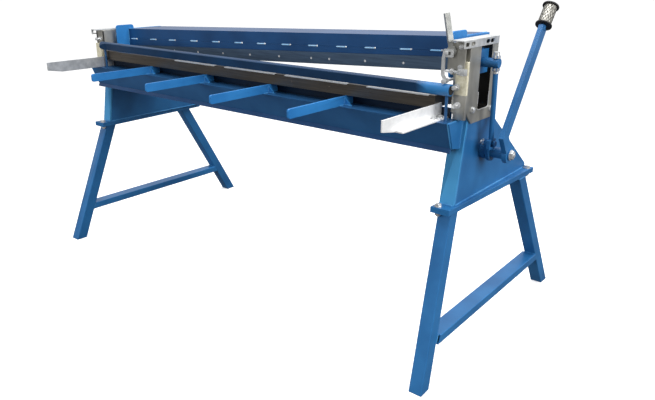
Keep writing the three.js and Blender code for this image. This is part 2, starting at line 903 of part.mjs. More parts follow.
function clampHandle() {
  const { x, z } = pivot
  const rise = new THREE.Vector2(handleReach.x, handleReach.z)
  const length = rise.length()
  const lean = Math.atan2(rise.x, rise.y)
  const middle = (discFront + discBack) / 2
  const half = handleWide / 2
  const foot = block(-half, half, discFront, discBack, 0, angle.from + half)
  const upright = drawn(angleShape(), angle.from, length).translate(0, middle, 0)
  const body = join(
    alongY(outline(ring(x, z, disc.radius)), discFront, discBack),
    foot.rotateY(lean).translate(x, 0, z),
    upright.rotateY(lean).translate(x, 0, z),
    alongY(outline(ring(clampPin.x, clampPin.z, eccentricRadius, smallSides)), linkFront - gap, middle),
  )
  const bore = outline(ring(x, z, pivotRadius + gap, smallSides))
  return cut(body, alongY(bore, discFront - overrun, discBack + overrun))
}

function clampLink() {
  const half = linkWide / 2
  const { x, z } = clampPin
  const elbow = { x: x + linkElbow.x, z: z + linkElbow.z }
  const knee = { x: elbow.x, z: elbow.z - linkKneeDown }
  const foot = { x: holdRight - linkInset, z: holdZ + holdRadius + linkBoss + gap }
  const flat = (shape) => alongY(outline(shape), linkFront, linkBack)
  const bar = (a, b) => flat(hull([a.x, a.z, half], [b.x, b.z, half]))
  const around = ({ low, high, halfHigh }) => rounded(
    x + low, x + high, z - halfHigh, z + halfHigh, half - gap)
  const body = join(
    flat(around(linkEye)),
    bar({ x: x + linkEye.low + half, z }, elbow),
    bar(elbow, knee),
    bar(knee, foot),
    flat(ring(foot.x, foot.z, linkBoss)),
  )
  return cut(body, alongY(outline(around(linkSlot)), linkFront - overrun, linkBack + overrun))
}

add(upper, 'hold_down', holdDown(), blue)
add(upper, 'clamp_bracket', clampBracket(), steel)
add(upper, 'clamp_handle', clampHandle(), zinc)
add(upper, 'clamp_link', clampLink(), zinc)

// The origin lies on the floor under the middle of the whole machine
machine.updateMatrixWorld(true)
const bounds = new THREE.Box3().setFromObject(machine, true)
const middle = bounds.getCenter(new THREE.Vector3())
machine.position.set(-middle.x, -middle.y, -bounds.min.z)

export default machine
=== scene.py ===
import math

import bmesh
import bpy
from mathutils import Matrix, Vector


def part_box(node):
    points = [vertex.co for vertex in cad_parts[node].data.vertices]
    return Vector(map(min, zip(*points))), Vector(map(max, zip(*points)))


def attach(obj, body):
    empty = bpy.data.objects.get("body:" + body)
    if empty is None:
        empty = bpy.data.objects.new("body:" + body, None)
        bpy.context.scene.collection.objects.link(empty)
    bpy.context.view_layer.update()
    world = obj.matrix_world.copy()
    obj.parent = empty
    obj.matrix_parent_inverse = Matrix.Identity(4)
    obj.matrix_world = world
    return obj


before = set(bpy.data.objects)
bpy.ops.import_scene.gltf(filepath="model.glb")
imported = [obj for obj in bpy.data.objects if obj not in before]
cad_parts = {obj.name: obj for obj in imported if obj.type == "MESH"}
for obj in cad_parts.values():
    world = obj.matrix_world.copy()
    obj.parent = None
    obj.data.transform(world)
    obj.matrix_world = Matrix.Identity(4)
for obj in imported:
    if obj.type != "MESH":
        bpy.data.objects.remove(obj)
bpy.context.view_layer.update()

# Stands: each is two square tube legs with a flat rectangular crossbar and a plate on top.
# They are welded from mild steel, then brushed and sprayed with one glossy blue enamel.
# Places below are in millimetres from the middle of the bed, the cutting plane and the floor.
MM = 0.001
bed_low, bed_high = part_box("bed_bar")
blade_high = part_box("lower_blade")[1]
ORIGIN = Vector(((bed_low.x + bed_high.x) / 2, blade_high.y, 0))
SIDES = (("right", 1), ("left", -1))
ENAMEL_BLUE = "#2c6fa8"
ENAMEL_DEEP = "#235f95"
WELD_STEP = 4
WELD_SUNK = 1
FRONT_TOP, REAR_TOP = (981, -126), (1008, 375)
TUBE_HALF = 25
FRONT_HALF_RUN, REAR_HALF_RUN = 26.7, 29.1
CROSSBAR_LOW, CROSSBAR_HIGH = 146, 178
CROSSBAR_ENDS = ((993, 1040, -259.7, -247.8), (1000, 1048, 601.8, 582.7))


def place(x, y, z):
    """A point of the object, from millimetres to metres."""
    return ORIGIN + Vector((x, y, z)) * MM


def local(node):
    """A node's lowest and highest corner, in the same millimetres as place."""
    low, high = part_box(node)
    return (low - ORIGIN) / MM, (high - ORIGIN) / MM


def colour(code):
    """A linear colour from an sRGB hex value."""
    parts = [int(code[i:i + 2], 16) / 255 for i in (1, 3, 5)]
    linear = [c / 12.92 if c <= 0.04045 else ((c + 0.055) / 1.055) ** 2.4 for c in parts]
    return (*linear, 1)


def add_node(tree, kind, inputs=None, **settings):
    """Adds a shader node. An input is either a value or the socket that feeds it."""
    node = tree.nodes.new(kind)
    for name, value in settings.items():
        setattr(node, name, value)
    for name, value in (inputs or {}).items():
        if isinstance(value, bpy.types.NodeSocket):
            tree.links.new(value, node.inputs[name])
        else:
            node.inputs[name].default_value = value
    return node


def new_material(name, **inputs):
    """An empty material with one shader, whose inputs are set by name."""
    material = bpy.data.materials.new(name)
    material.use_nodes = True
    shader = material.node_tree.nodes["Principled BSDF"]
    for key, value in inputs.items():
        shader.inputs[key.replace("_", " ").title().replace("Ior", "IOR")].default_value = value
    return material, material.node_tree, shader


def blend_colours(tree, factor, low, high, start=0.35, end=0.65):
    """A colour that goes from low to high as the factor goes from start to end."""
    ramp = add_node(tree, "ShaderNodeValToRGB", {"Fac": factor})
    ramp.color_ramp.elements[0].position = start
    ramp.color_ramp.elements[0].color = colour(low)
    ramp.color_ramp.elements[1].position = end
    ramp.color_ramp.elements[1].color = colour(high)
    return ramp.outputs["Color"]


def noise(tree, size, detail=2.0, stretch=(1, 1, 1)):
    """Noise whose lumps are about size millimetres across, drawn out by stretch."""
    coords = add_node(tree, "ShaderNodeTexCoord").outputs["Object"]
    scale = Vector(stretch) / (size * MM)
    mapping = add_node(tree, "ShaderNodeMapping", {"Vector": coords, "Scale": scale})
    return add_node(tree, "ShaderNodeTexNoise", {
        "Vector": mapping.outputs["Vector"], "Scale": 1.0, "Detail": detail,
    }).outputs["Fac"]


def bump(tree, shader, height, depth):
    """Feeds a height pattern to the shader, depth millimetres deep."""
    made = add_node(tree, "ShaderNodeBump", {"Height": height, "Distance": depth * MM, "Strength": 1.0})
    tree.links.new(made.outputs["Normal"], shader.inputs["Normal"])


def blue_enamel(name, low, high):
    """Sprayed synthetic enamel: half gloss, faintly rippled, patchy from low to high."""
    material, tree, shader = new_material(name, roughness=0.38, ior=1.5)
    patches = noise(tree, 160, 3.0)
    tree.links.new(blend_colours(tree, patches, low, high), shader.inputs["Base Color"])
    bump(tree, shader, noise(tree, 9, 2.0), 0.1)
    shader.inputs["Specular IOR Level"].default_value = 0.35
    return material


def enamel_with_painted_shade(name, low, high, beyond, axis, start, end):
    """Enamel in painted shade, patchy from low to high, that passes into the colour beyond from start to end
    along an axis.
    """
    material = blue_enamel(name, low, high)
    tree = material.node_tree
    shader = tree.nodes["Principled BSDF"]
    near = shader.inputs["Base Color"].links[0].from_socket
    coords = add_node(tree, "ShaderNodeTexCoord").outputs["Object"]
    along = add_node(tree, "ShaderNodeSeparateXYZ", {"Vector": coords}).outputs[axis]
    offset = ORIGIN["XYZ".index(axis)]
    far = add_node(tree, "ShaderNodeMapRange", {
        "Value": along, "From Min": offset + start * MM, "From Max": offset + end * MM})
    mixed = add_node(tree, "ShaderNodeMix", {"Factor": far.outputs["Result"]}, data_type="RGBA")
    tree.links.new(near, mixed.inputs[6])
    mixed.inputs[7].default_value = colour(beyond)
    tree.links.new(mixed.outputs[2], shader.inputs["Base Color"])
    return material


def dress(node, material, edge=0.8):
    """Gives a node its finish and breaks its sharp edges by a small round."""
    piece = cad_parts[node]
    piece.data.materials.clear()
    piece.data.materials.append(material)
    weld = piece.modifiers.new("join", "WELD")
    weld.merge_threshold = 0.02 * MM
    if edge:
        bevel = piece.modifiers.new("edge", "BEVEL")
        bevel.width = edge * MM
        bevel.segments = 2
        bevel.limit_method = "ANGLE"
        bevel.angle_limit = math.radians(30)
        bevel.harden_normals = False
    return piece


def round_bar(shape, start, end, radius, sides=24, tip=None):
    """A straight round bar, or a tapered one, between two points in millimetres."""
    start, end = Vector(start), Vector(end)
    turn = (end - start).to_track_quat("Z", "Y").to_matrix().to_4x4()
    return bmesh.ops.create_cone(
        shape, cap_ends=True, segments=sides, radius1=radius, radius2=radius if tip is None else tip,
        depth=(end - start).length, matrix=Matrix.Translation((start + end) / 2) @ turn)["verts"]


def swept(shape, points, radii, sides=6):
    """A closed round body through the points, as thick at each as its radius says."""
    points = [Vector(point) for point in points]
    last = len(points) - 1
    frames = []
    for i, (point, radius) in enumerate(zip(points, radii)):
        run = points[min(i + 1, last)] - points[max(i - 1, 0)]
        turn = run.to_track_quat("Z", "Y").to_matrix().to_4x4()
        frames.append(Matrix.Translation(point) @ turn @ Matrix.Diagonal((radius, radius, 1, 1)))
    ring = bmesh.ops.create_circle(shape, cap_ends=True, segments=sides, radius=1, matrix=frames[0])["verts"]
    edges = list({edge for vert in ring for edge in vert.link_edges})
    for before, after in zip(frames, frames[1:]):
        made = bmesh.ops.extrude_edge_only(shape, edges=edges)["geom"]
        ring = {part for part in made if isinstance(part, bmesh.types.BMVert)}
        edges = [part for part in made if isinstance(part, bmesh.types.BMEdge)
                 and all(vert in ring for vert in part.verts)]
        bmesh.ops.transform(shape, matrix=after @ before.inverted(), verts=list(ring))
    bmesh.ops.contextual_create(shape, geom=edges)


def weld(shape, start, end, radius=3.0):
    """One pass of weld between two points, rippled and thinner at both ends."""
    start, end = Vector(start), Vector(end)
    count = max(4, round((end - start).length / WELD_STEP))
    radii = [radius * (0.55 if i in (0, count) else 1 - 0.16 * (i % 2)) for i in range(count + 1)]
    swept(shape, [start.lerp(end, i / count) for i in range(count + 1)], radii)


def make_piece(name, shape, material, body):
    """Turns a shape in millimetres into an object that rides on a body."""
    bmesh.ops.transform(shape, matrix=Matrix.Translation(ORIGIN) @ Matrix.Scale(MM, 4), verts=shape.verts)
    bmesh.ops.recalc_face_normals(shape, faces=shape.faces)
    mesh = bpy.data.meshes.new(name)
    shape.to_mesh(mesh)
    shape.free()
    mesh.shade_smooth()
    mesh.set_sharp_from_angle(angle=math.radians(38))
    mesh.materials.append(material)
    piece = bpy.data.objects.new(name, mesh)
    bpy.context.collection.objects.link(piece)
    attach(piece, body)
    return piece


blue = blue_enamel("blue_enamel", ENAMEL_DEEP, ENAMEL_BLUE)
# The welds' lighter blue is painted highlight: the same enamel made paler where the beads catch the light.
weld_blue = blue_enamel("blue_enamel_lighter_over_weld", "#2c72ad", "#5499cc")
# A lighter copy of the enamel: painted light on the leaning housing fronts.
lit_blue = blue_enamel("blue_enamel_painted_lighter", "#3c86ba", "#4796c9")
# A navy copy of the enamel: painted shade on the beam, its carrier and the apron lip.
navy = blue_enamel("blue_enamel_painted_darker", "#143a64", "#1a4574")
for side, way in SIDES:
    for node in ("leg_front", "leg_rear", "leg_crossbar"):
        dress(f"{node}_{side}", blue, edge=3)
    dress(f"leg_plate_{side}", blue, edge=1.2)
    seams = bmesh.new()
    for node, middle, half_run in (("leg_front", FRONT_TOP, FRONT_HALF_RUN),
                                   ("leg_rear", REAR_TOP, REAR_HALF_RUN)):
        top = local(f"{node}_{side}")[1].z - WELD_SUNK
        x0, x1 = way * (middle[0] - TUBE_HALF), way * (middle[0] + TUBE_HALF)
        y0, y1 = middle[1] - half_run, middle[1] + half_run
        corners = ((x0, y0), (x1, y0), (x1, y1), (x0, y1))
        for start, end in zip(corners, corners[1:] + corners[:1]):
            weld(seams, (*start, top), (*end, top), 2.6)
    for x0, x1, y_low, y_high in CROSSBAR_ENDS:
        x0, x1 = way * x0, way * x1
        weld(seams, (x0, y_low, CROSSBAR_LOW), (x1, y_low, CROSSBAR_LOW), 2.6)
        weld(seams, (x0, y_high, CROSSBAR_HIGH), (x1, y_high, CROSSBAR_HIGH), 2.6)
        weld(seams, (x0, y_low, CROSSBAR_LOW), (x0, y_high, CROSSBAR_HIGH), 2.6)
        weld(seams, (x1, y_low, CROSSBAR_LOW), (x1, y_high, CROSSBAR_HIGH), 2.6)
    make_piece(f"stand_welds_{side}", seams, weld_blue, "frame")

# Housings: two plates with a leaning front plate and a strip at the back, welded on a flange.
# They are the same mild steel and blue enamel as the stands; the leaning front gets a lighter copy as painted
# light.
HOUSING_OUTER, HOUSING_INNER = 1004, 950
HOUSING_FRONT, HOUSING_BACK = -125, 452
LEAN = 0.176
for side, way in SIDES:
    for node in ("housing_base", "housing_front", "housing_outer", "housing_inner", "housing_rear"):
        dress(f"{node}_{side}", lit_blue if node == "housing_front" else blue, edge=1.2)
    plate_low, plate_high = local(f"housing_outer_{side}")
    foot, top = plate_low.z, plate_high.z
    outer, inner = way * HOUSING_OUTER, way * HOUSING_INNER
    seams = bmesh.new()
    for x in (outer, inner):
        weld(seams, (x, HOUSING_FRONT, foot + 1), (x, HOUSING_BACK, foot + 1), 2.8)
    weld(seams, (inner + way * 2, -136, foot + 1), (outer - way * 2, -136, foot + 1), 2.8)
    weld(seams, (outer, -128, foot + 3), (outer, -128 + LEAN * (top - foot), top - 4), 2.2)
    make_piece(f"housing_welds_{side}", seams, weld_blue, "frame")


# Flange bolts: zinc plated hexagon bolts through both flanges, with a washer and a nut.
# Bright zinc is a pale, slightly milky metal. The other screws and nuts are made here too.
WASHER_HIGH = 1.8
THREAD_PITCH = 1.2


def zinc_plate(name, low, high):
    """Zinc on cold-drawn steel: pale, with a soft broad gloss."""
    material, tree, shader = new_material(name)
    cloud = noise(tree, 30, 3.0)
    tree.links.new(blend_colours(tree, cloud, low, high), shader.inputs["Base Color"])
    shader.inputs["Metallic"].default_value = 0.6
    shader.inputs["Roughness"].default_value = 0.34
    return material


def hexagon_end(shape, start, end, across):
    """A bolt head or nut between two points, with the corners of its far face turned off."""
    verts = round_bar(shape, start, end, across / math.sqrt(3), sides=6)
    near, far = Vector(start), Vector(end)
    edges = {edge for vert in verts for edge in vert.link_edges
             if all((v.co - far).length < (v.co - near).length for v in edge.verts)}
    bmesh.ops.bevel(shape, geom=list(edges), offset=across * 0.07, affect="EDGES",
                    segments=2, profile=0.5, material=-1)


def screw(shape, seat, way, head=8, across=17, washer=11, reach=0, thread=5):
    """A hexagon screw whose head stands on a face, with its washer and any free thread."""
    seat, way = Vector(seat), Vector(way)
    top = seat + way * (WASHER_HIGH + head)
    round_bar(shape, seat, seat + way * WASHER_HIGH, washer, sides=28)
    hexagon_end(shape, seat + way * WASHER_HIGH, top, across)
    if reach:
        count = round(reach / THREAD_PITCH)
        swept(shape, [top + way * (reach * i / count) for i in range(count + 1)],
              [thread * (0.82 if i == count else 1 - 0.1 * (i % 2)) for i in range(count + 1)], sides=16)


zinc = zinc_plate("bright_zinc_plate", "#c4c6c7", "#e2e3e3")
for side, way in SIDES:
    for end in ("front", "rear"):
        dress(f"flange_bolt_{end}_{side}", zinc, edge=0.5)


# Bed: a flat steel bar on a blue web, with the bluish lower blade screwed to its rear face.
# The bar is milled on top and keeps a thin film of oil, and the blade is ground tool steel.
# The web's front, where it lies under the bar, is painted near-black as shade, and it is blue at the back.
GLINT_STRETCHES = ((-387, -129), (-70, 212), (263, 560), (644, 889))
BED_SCREW_COUNT, BED_SCREW_FIRST, BED_SCREW_STEP = 10, -810, 180


def milled_steel():
    """Milled mild steel under oil: brownish grey, streaked along the cut."""
    material, tree, shader = new_material("milled_mild_steel", metallic=0.9)
    streaks = noise(tree, 4, 3.0, stretch=(0.03, 1, 1))
    tree.links.new(blend_colours(tree, streaks, "#665f57", "#756d63"), shader.inputs["Base Color"])
    shader.inputs["Roughness"].default_value = 0.38
    bump(tree, shader, streaks, 0.01)
    return material


def sky_tinted_steel():
    """Hardened tool steel, ground and oiled: dark grey, tinted bluish as painted reflection of the sky."""
    material, tree, shader = new_material("ground_steel_with_painted_sky", metallic=0.85)
    streaks = noise(tree, 6, 3.0, stretch=(0.05, 1, 1))
    tree.links.new(blend_colours(tree, streaks, "#5b7088", "#69809a"), shader.inputs["Base Color"])
    shader.inputs["Roughness"].default_value = 0.42
    return material


def glint_steel():
    """Near-white steel for painted highlights: pale and smooth."""
    material, tree, shader = new_material("near_white_for_painted_highlight", metallic=0.55, roughness=0.3)
    streaks = noise(tree, 5, 3.0, stretch=(0.04, 1, 1))
    tree.links.new(blend_colours(tree, streaks, "#e4e4e2", "#fbfbfa"), shader.inputs["Base Color"])
    return material


steel = milled_steel()
blade_steel = sky_tinted_steel()
highlight_white = glint_steel()
dress("bed_bar", steel, edge=1)
dress("lower_blade", blade_steel, edge=0.3)
web_front = local("bed_web")[0].y
# The web's front is painted near-black: painted shade under the bed bar.
dress("bed_web", enamel_with_painted_shade("blue_enamel_with_front_painted_shade", "#0a1626", "#0e1d31", "#235f95",
                                 "Y", web_front + 0.3, web_front + 1.5))
bed_top = local("bed_bar")[1].z
bed_front = local("bed_bar")[0].y
# Near-white strips along the bed's front edge: painted highlight.
edge_glint = bmesh.new()
for x0, x1 in GLINT_STRETCHES:
    made = bmesh.ops.create_cube(edge_glint, size=1, matrix=Matrix.Translation(
        ((x0 + x1) / 2, bed_front + 6.6, bed_top - 1.6)) @ Matrix.Diagonal((x1 - x0, 14, 3.9, 1)))
    ends = [edge for vert in made["verts"] for edge in vert.link_edges]
    bmesh.ops.bevel(edge_glint, geom=list(set(ends)), offset=0.25, affect="EDGES",
                    segments=1, profile=0.5, material=-1)
make_piece("bed_painted_glint", edge_glint, highlight_white, "frame")
bed_screws = bmesh.new()
front_z = bed_top - 20
for i in range(BED_SCREW_COUNT):
    x = BED_SCREW_FIRST + BED_SCREW_STEP * i
    round_bar(bed_screws, (x, -11, bed_top - 0.4), (x, -11, bed_top + 0.5), 6.5, sides=24, tip=6)
    x = x + 60
    round_bar(bed_screws, (x, -75, bed_top - 0.4), (x, -75, bed_top + 0.6), 7.5, sides=24, tip=7)
    x = x - 32
    round_bar(bed_screws, (x, bed_front + 1, front_z), (x, bed_front - 1.2, front_z), 4, sides=20, tip=2.6)
make_piece("bed_screws", bed_screws, steel, "frame")

# Apron: sheet steel folded in front of the bed, closed at both ends by small welded plates.
# Its face gets a darker blue as painted shade, and a navy strip over its lower lip is painted shade.
APRON_LENGTH = 1966
LIP_Y, LIP_DOWN = -151.6, 93.4
dress("apron", blue_enamel("apron_blue_painted_darker", "#234f7c", "#2b5c8c"), edge=1.2)
# A thin navy strip laid over the lip: painted shade.
lip = bmesh.new()
apron_top = local("apron_end_right")[1].z
made = bmesh.ops.create_cube(lip, size=1, matrix=Matrix.Translation((0, LIP_Y, apron_top - LIP_DOWN))
                             @ Matrix.Rotation(math.atan2(-7, 15), 4, "X")
                             @ Matrix.Diagonal((APRON_LENGTH, 1.4, 17.4, 1)))
edges = {part for vert in made["verts"] for part in vert.link_edges}
bmesh.ops.bevel(lip, geom=list(edges), offset=0.4, affect="EDGES", segments=1, profile=0.5, material=-1)
make_piece("apron_lip_painted_shade", lip, navy, "frame")
for side, way in SIDES:
    dress(f"apron_end_{side}", blue, edge=1)
    low, high = local(f"apron_end_{side}")
    x = way * 985
    corners = ((-182, high.z), (-147, high.z - 86), (-103.2, low.z), (-86.5, high.z))
    seams = bmesh.new()
    weld(seams, (x, *corners[0]), (x, *corners[1]), 2.6)
    weld(seams, (x, *corners[1]), (x, *corners[2]), 2.6)
    weld(seams, (x, *corners[3]), (x, *corners[0]), 2.4)
    weld(seams, (way * 990, *corners[2]), (way * 990, *corners[3]), 4)
    make_piece(f"apron_welds_{side}", seams, weld_blue, "frame")

# Arms: four flat bars carry the sheet in front of the bed, and a folded zinc plated angle at
# each end squares it to the blade. The right angle gets near-white zinc as painted light, paler than the left
# one.
ARM_COUNT, ARM_SHEET = 4, 8
# A lighter copy of the enamel: painted light on the arms and the beam's end plates.
arm_blue = blue_enamel("blue_enamel_lighter_on_arms", "#276fb0", "#3380c2")
arm_welds = bmesh.new()
for i in range(ARM_COUNT):
    dress(f"support_arm_{i + 1}", arm_blue, edge=1.6)
    low, high = local(f"support_arm_{i + 1}")
    left, right = low.x, low.x + ARM_SHEET
    weld(arm_welds, (left, -180, low.z + 1), (left, -106, low.z + 1), 2.6)
    weld(arm_welds, (right, -180, low.z + 1), (right, -153, low.z + 1), 2.6)
    weld(arm_welds, (right, -152.5, low.z + 1.5), (high.x, -152.5, low.z + 1.5), 3)
    weld(arm_welds, (right + 0.5, -152, low.z + 4), (right + 0.5, -152, high.z - 6), 2.6)
make_piece("arm_welds", arm_welds, weld_blue, "frame")
# Near-white zinc on the right squaring arm: painted light.
lit_zinc = zinc_plate("zinc_sheet_painted_lit", "#f2f3f3", "#ffffff")
lit_zinc.node_tree.nodes["Principled BSDF"].inputs["Metallic"].default_value = 0.25
for side, way in SIDES:
    dress(f"squaring_arm_{side}", lit_zinc if side == "right" else zinc, edge=0.8)
    seat_z = local(f"squaring_arm_{side}")[0].z + 5
    fixings = bmesh.new()
    for y in (-128, -165):
        screw(fixings, (way * 930, y, seat_z), (0, 0, 1), head=6, across=13, washer=9)
    make_piece(f"squaring_arm_screws_{side}", fixings, zinc, "frame")

# Knife beam: a flat box of plate, stitch welded along its front, with the blade on its carrier.
# Its navy is the one blue enamel darkened as painted shade. The welds are sunk into its front and the blade's
# screws are flush, so that both pass the lower blade.
CLIMB = 0.0437
STITCH_LENGTH, STITCH_SUNK, STITCH_RADIUS = 46, 1.3, 3.7
BEAM_END = 912.9
STITCH_ENDS = (-851, -699, -555, -399, -252, -108, 27, 166, 306, 446, 577, 728, 849)
BLADE_BOLTS = (-840, -726, -560, -393, -227, -60, 107, 278, 368, 536, 701, 860)
dress("upper_beam", navy, edge=2)
dress("blade_carrier", navy, edge=1)
dress("upper_blade", blade_steel, edge=0.3)
beam_low, beam_high = local("upper_beam")
edge_middle = (beam_high.z + beam_low.z) / 2 - 24
# The stitches' pale blue is painted highlight, and the near-white dot at each stitch's end is a painted glint.
stitch_blue = blue_enamel("pale_blue_for_stitch_highlight", "#7fb2da", "#a9cdea")
stitches = bmesh.new()
stitch_glints = bmesh.new()
for x in STITCH_ENDS:
    z = edge_middle + CLIMB * x
    sunk = beam_low.y + STITCH_SUNK
    weld(stitches, (x - STITCH_LENGTH, sunk, z - CLIMB * STITCH_LENGTH), (x, sunk, z), STITCH_RADIUS)
    bmesh.ops.create_icosphere(stitch_glints, subdivisions=2, radius=STITCH_RADIUS,
                               matrix=Matrix.Translation((x, sunk - 0.2, z)))
make_piece("beam_stitch_welds", stitches, stitch_blue, "beam")
make_piece("beam_stitch_highlights", stitch_glints, highlight_white, "beam")
blade_front = local("upper_blade")[0].y
# The flush screw heads are near-white: painted highlight.
blade_bolts = bmesh.new()
for x in BLADE_BOLTS:
    z = 993 + CLIMB * x
    seat, face = (x, blade_front + 0.6, z), (x, blade_front - 0.12, z)
    round_bar(blade_bolts, seat, face, 4.4, sides=20, tip=4.3)
make_piece("upper_blade_screws", blade_bolts, highlight_white, "beam")

for side, way in SIDES:
    dress(f"beam_end_plate_{side}", arm_blue, edge=1.2)
    dress(f"slide_block_{side}", blue, edge=1)
    dress(f"connecting_rod_{side}", blue, edge=0.8)
    plate_x = way * BEAM_END
    beam_top = edge_middle + 48 + CLIMB * plate_x
    seams = bmesh.new()
    weld(seams, (plate_x, beam_low.y - 0.5, beam_top - 2), (plate_x, beam_low.y - 0.5, beam_top - 62), 2.8)
    weld(seams, (plate_x, beam_low.y + 4, beam_top), (plate_x, beam_high.y - 4, beam_top), 2.4)
    weld(seams, (plate_x, beam_high.y, beam_top - 2), (plate_x, beam_high.y, beam_top - 46), 2.8)
    make_piece(f"beam_end_welds_{side}", seams, weld_blue, "beam")

# Rod ends: each rod is threaded where it passes the pin tube, between two zinc plated nuts.
# The nuts set the height of each end of the blade.
PIN_SIDE, NUT_FAR, THREAD_FAR = 15.5, 24.6, (35, -33)
for side, way in SIDES:
    slide_low, slide_high = local(f"slide_block_{side}")
    rod_low, rod_high = local(f"connecting_rod_{side}")
    centre = Vector(((rod_low.x + rod_high.x) / 2, -14, (slide_low.z + slide_high.z) / 2))
    eye = Vector((centre.x, 1.6, rod_low.z + 17))
    up = (centre - eye).normalized()
    fittings = bmesh.new()
    for start, end in ((PIN_SIDE, NUT_FAR), (-PIN_SIDE, -NUT_FAR)):
        hexagon_end(fittings, centre + up * start, centre + up * end, 21.5)
    for start, end in zip((NUT_FAR, -NUT_FAR), THREAD_FAR):
        count = round(abs(end - start) / 1.5)
        swept(fittings, [centre + up * (start + (end - start) * i / count) for i in range(count + 1)],
              [8.8 + 0.7 * (i % 2) for i in range(count + 1)], sides=20)
    make_piece(f"rod_nuts_{side}", fittings, zinc, "beam")


# Guides: a bare steel plate on each housing, a cream nylon slideway in front of it and a slotted
# zinc plated angle on top. The slot is painted black as shade, and a near-white line round its rim is painted
# highlight.
SLOT_SHADE_HALF, SLOT_SHADE_FADE, PLATE_FACE = 0.0402, 0.042, 1.0117
SLOT_FACE = 1012.5


def guide_plastic():
    """Cast nylon slideway: cream, dull, slightly mottled."""
    material, tree, shader = new_material("cream_cast_nylon", roughness=0.5)
    mottle = noise(tree, 12, 2.0)
    tree.links.new(blend_colours(tree, mottle, "#c9c2a6", "#ddd8c2"), shader.inputs["Base Color"])
    return material


def guide_steel():
    """Cold-rolled steel plate, left bare: mid grey and cloudy, and painted black as shade in the slot."""
    material, tree, shader = new_material("bare_rolled_steel", metallic=0.7)
    cloud = noise(tree, 60, 4.0, stretch=(1, 1, 0.5))
    bare = blend_colours(tree, cloud, "#94928b", "#b9b7af")
    # Inside the slot the plate is painted black: painted shade.
    coords = add_node(tree, "ShaderNodeTexCoord").outputs["Object"]
    across = add_node(tree, "ShaderNodeSeparateXYZ", {"Vector": coords}).outputs["Y"]
    from_middle = add_node(tree, "ShaderNodeMath", {0: across, 1: ORIGIN.y}, operation="SUBTRACT")
    away = add_node(tree, "ShaderNodeMath", {0: from_middle.outputs["Value"]}, operation="ABSOLUTE")
    beside = add_node(tree, "ShaderNodeMapRange", {
        "Value": away.outputs["Value"], "From Min": SLOT_SHADE_HALF, "From Max": SLOT_SHADE_FADE})
    along = add_node(tree, "ShaderNodeSeparateXYZ", {"Vector": coords}).outputs["X"]
    from_centre = add_node(tree, "ShaderNodeMath", {0: along, 1: ORIGIN.x}, operation="SUBTRACT")
    outward = add_node(tree, "ShaderNodeMath", {0: from_centre.outputs["Value"]}, operation="ABSOLUTE")
    outside = add_node(tree, "ShaderNodeMath", {0: outward.outputs["Value"], 1: PLATE_FACE},
                       operation="GREATER_THAN")
    unshaded = add_node(tree, "ShaderNodeMath", {0: beside.outputs["Result"], 1: outside.outputs["Value"]},
                     operation="MAXIMUM")
    mixed = add_node(tree, "ShaderNodeMix", {
        "Factor": unshaded.outputs["Value"]}, data_type="RGBA")
    mixed.inputs[6].default_value = colour("#2a2825")
    tree.links.new(bare, mixed.inputs[7])
    tree.links.new(mixed.outputs[2], shader.inputs["Base Color"])
    shader.inputs["Roughness"].default_value = 0.42
    bump(tree, shader, noise(tree, 3, 2.0, stretch=(1, 1, 0.1)), 0.03)
    return material


def painted_shade_black():
    """Black, dull strips: painted shade at the left guide's edges."""
    material, tree, shader = new_material("black_for_painted_shade", roughness=0.9)
    speckle = noise(tree, 2, 4.0)
    tree.links.new(blend_colours(tree, speckle, "#0f0f10", "#2a2a2b"), shader.inputs["Base Color"])
    bump(tree, shader, speckle, 0.4)
    return material


def slab(shape, low, high, edge):
    """A flat bar between two corners, with its edges broken."""
    low, high = Vector(low), Vector(high)
    size = high - low
    made = bmesh.ops.create_cube(shape, size=1, matrix=Matrix.Translation((low + high) / 2)
                                 @ Matrix.Diagonal((abs(size.x), abs(size.y), abs(size.z), 1)))
    edges = {part for vert in made["verts"] for part in vert.link_edges}
    bmesh.ops.bevel(shape, geom=list(edges), offset=edge, affect="EDGES",
                    segments=2, profile=0.5, material=-1)


